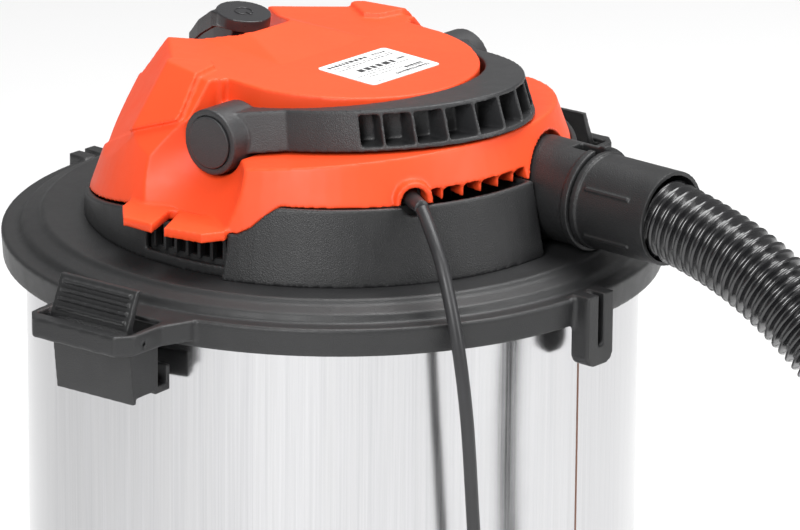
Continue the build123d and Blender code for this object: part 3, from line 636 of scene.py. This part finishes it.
def build_boot():
    """Slim boot that guides the cord out of the cover, turned about the exit's direction."""
    profile = [(0.0, 0.093), (0.0066, 0.093), (0.0070, 0.0935), (0.0070, 0.1130), (0.0062, 0.1140),
               (0.0050, 0.1180), (0.0043, 0.1250), (0.0040, 0.1330), (0.0039, 0.1396),
               (0.0037, 0.1400), (0.0, 0.1400)]
    boot = lathe("cord_boot", profile, 48, MAT["cord_black"])
    boot.matrix_world = Matrix.Translation((0.0, 0.0, EXIT_Z)) @ Matrix.Rotation(
        EXIT_TURN, 4, "Z") @ Matrix.Rotation(math.radians(90), 4, "Y")
    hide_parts("strain_relief")
    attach(boot, "head")
    return boot


def build_drum_skin():
    """Smoothly turned drum: flat bottom, side wall and the rolled bead at its mouth."""
    bead_z = RIM_Z + 0.0056
    profile = [(0.0, 0.0645), (0.1600, 0.0645), (0.1638, 0.0645), (0.1650, 0.0657),
               (0.1650, 0.0672), (0.1650, RIM_Z - 0.002), (0.1650, bead_z - 0.0028)]
    for k in range(9):
        angle = math.radians(-60 + 27 * k)
        profile.append((0.1666 + 0.003 * math.cos(angle), bead_z + 0.003 * math.sin(angle)))
    profile += [(0.1640, bead_z), (0.1640, bead_z - 0.002), (0.1640, 0.0690), (0.1640, 0.0672),
                (0.1628, 0.0656), (0.1600, 0.0655), (0.0, 0.0655)]
    drum = lathe("drum_skin", profile, 288, MAT["steel_drum"])
    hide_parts("drum")
    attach(drum, "drum_body")


build_drum_skin()
build_hose()
build_cord()


# ---- small marks --------------------------------------------------------------------
def block_mesh(name, blocks):
    """One mesh of thin blocks, each (x0, x1, y0, y1, z0, z1)."""
    work = bmesh.new()
    for x0, x1, y0, y1, z0, z1 in blocks:
        size = Matrix.Diagonal((x1 - x0, y1 - y0, z1 - z0, 1.0))
        place = Matrix.Translation(((x0 + x1) / 2, (y0 + y1) / 2, (z0 + z1) / 2))
        bmesh.ops.create_cube(work, size=1.0, matrix=place @ size)
    mesh = bpy.data.meshes.new(name)
    work.to_mesh(mesh)
    work.free()
    return mesh


def build_label_marks():
    """Plain printed dashes and boxes on the label, in rows along Y."""
    draw = random.Random(4)
    top = 0.00032
    blocks = []
    rows = [(15.0, 2.6, 2.4, -23, 8), (15.4, 1.6, 1.8, 12, 22), (19.4, 0.5, 5.0, -23, 23),
            (21.4, 0.8, 2.2, -14, 23), (23.6, 0.6, 1.8, -23, -6), (28.6, 4.2, 4.0, -15, 14),
            (28.4, 2.4, 1.6, 17, 23), (34.2, 0.6, 1.9, -12, 21), (37.2, 0.6, 2.4, -23, 6),
            (40.6, 0.6, 2.1, -18, 8), (41.2, 2.8, 1.5, 9, 22), (45.6, 2.2, 1.6, -3, 23),
            (48.6, 0.5, 2.2, -20, -8)]
    for x, height, width, start, end in rows:
        y = start
        while y < end:
            run = width * draw.uniform(0.6, 1.3)
            blocks.append((x / 1000, (x + height) / 1000, y / 1000, min(y + run, end) / 1000,
                           top - 0.00002, top + 0.00004))
            y += run + 0.28 * width + 0.3
    marks = new_piece("label_marks", block_mesh("label_marks", blocks), INK)
    marks.matrix_world = Matrix.Translation((0.0, 0.0, DECK_Z)) @ Matrix.Rotation(
        math.atan(0.022), 4, "Y")
    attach(marks, "head")


def build_power_mark():
    """Raised power symbol on the rocker: a ring open at one side, with a bar."""
    stroke = 0.00042
    radius = 0.0048
    line = []
    for k in range(25):
        angle = math.radians(30 + 300 * k / 24)
        line.append(Vector((radius * math.cos(angle), radius * math.sin(angle), 0.0)))
    ring = tube_mesh("power_mark", line, [stroke] * len(line), 10)
    bar = [Vector((0.0018 + 0.0042 * k / 3, 0.0, 0.0)) for k in range(4)]
    work = bmesh.new()
    work.from_mesh(ring)
    work.from_mesh(tube_mesh("power_bar", bar, [stroke] * len(bar), 10))
    work.to_mesh(ring)
    work.free()
    mark = new_piece("power_mark", ring, MAT["rocker_black"])
    mark.matrix_world = Matrix.Translation((-0.0655, 0.0, RIM_Z + 0.1208)) @ Matrix.Rotation(
        math.radians(8), 4, "Y") @ Matrix.Translation((0.0, 0.0, 0.0001))
    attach(mark, "switch")


def build_seam():
    """Fine upright weld line on the drum, on the hose side."""
    mesh = block_mesh("drum_seam", [(0.1648, 0.16525, -0.0005, 0.0005, 0.098, RIM_Z + 0.001)])
    seam = new_piece("drum_seam", mesh, SEAM)
    seam.rotation_euler = (0.0, 0.0, SEAM_TURN)
    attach(seam, "drum_body")


build_label_marks()
build_power_mark()
build_seam()


# ---- stage, light and camera ----------------------------------------------------------
def build_stage():
    """Plain pale floor."""
    work = bmesh.new()
    bmesh.ops.create_grid(work, x_segments=1, y_segments=1, size=9.0)
    mesh = bpy.data.meshes.new("floor")
    work.to_mesh(mesh)
    work.free()
    s = Shader("floor_pale")
    s.colour(s.mix(s.noise(3.0), (0.92, 0.92, 0.92), (0.94, 0.94, 0.94)))
    s.set(Roughness=0.6)
    floor = new_piece("floor", mesh, s.material)
    floor.location = (0.0, 0.0, -0.0005)


def soft_box(name, place, target, size, power):
    """Rectangular area light that faces a target."""
    light = bpy.data.lights.new(name, "AREA")
    light.shape = "RECTANGLE"
    light.size, light.size_y = size
    light.energy = power
    lamp = bpy.data.objects.new(name, light)
    lamp.location = place
    lamp.rotation_euler = (Vector(target) - Vector(place)).to_track_quat("-Z", "Y").to_euler()
    bpy.context.scene.collection.objects.link(lamp)


def build_light():
    """White studio: even surroundings and three soft boxes."""
    world = bpy.data.worlds.new("studio")
    bpy.context.scene.world = world
    world.use_nodes = True
    backdrop = world.node_tree.nodes["Background"]
    backdrop.inputs["Color"].default_value = (1.0, 1.0, 1.0, 1.0)
    backdrop.inputs["Strength"].default_value = 0.34
    soft_box("key", (1.1, -2.5, 2.2), (0, 0, 0.4), (0.9, 1.8), 74.0)
    soft_box("fill", (2.6, 0.9, 1.8), (0, 0, 0.4), (0.7, 1.6), 40.0)
    soft_box("top", (0.2, 0.8, 3.2), (0, 0, 0.4), (2.0, 2.0), 92.0)


def build_camera():
    """Camera a little above the lid, looking down on it."""
    back = Vector((0.6228, -0.7164, 0.3147)).normalized()
    target = Vector((0.02724, 0.02369, RIM_Z - 0.0084))
    distance = 3.602
    camera_data = bpy.data.cameras.new("camera")
    camera_data.sensor_width = 36.0
    camera_data.lens = 300.6
    camera = bpy.data.objects.new("camera", camera_data)
    camera.location = target + back * distance
    aim = (-back).to_track_quat("-Z", "Y").to_matrix()
    roll = Matrix.Rotation(math.radians(0.5), 3, "Z")
    camera.rotation_euler = (aim @ roll).to_euler()
    bpy.context.scene.collection.objects.link(camera)
    bpy.context.scene.camera = camera


build_stage()
build_light()
build_camera()
bpy.context.scene.view_settings.view_transform = "Standard"
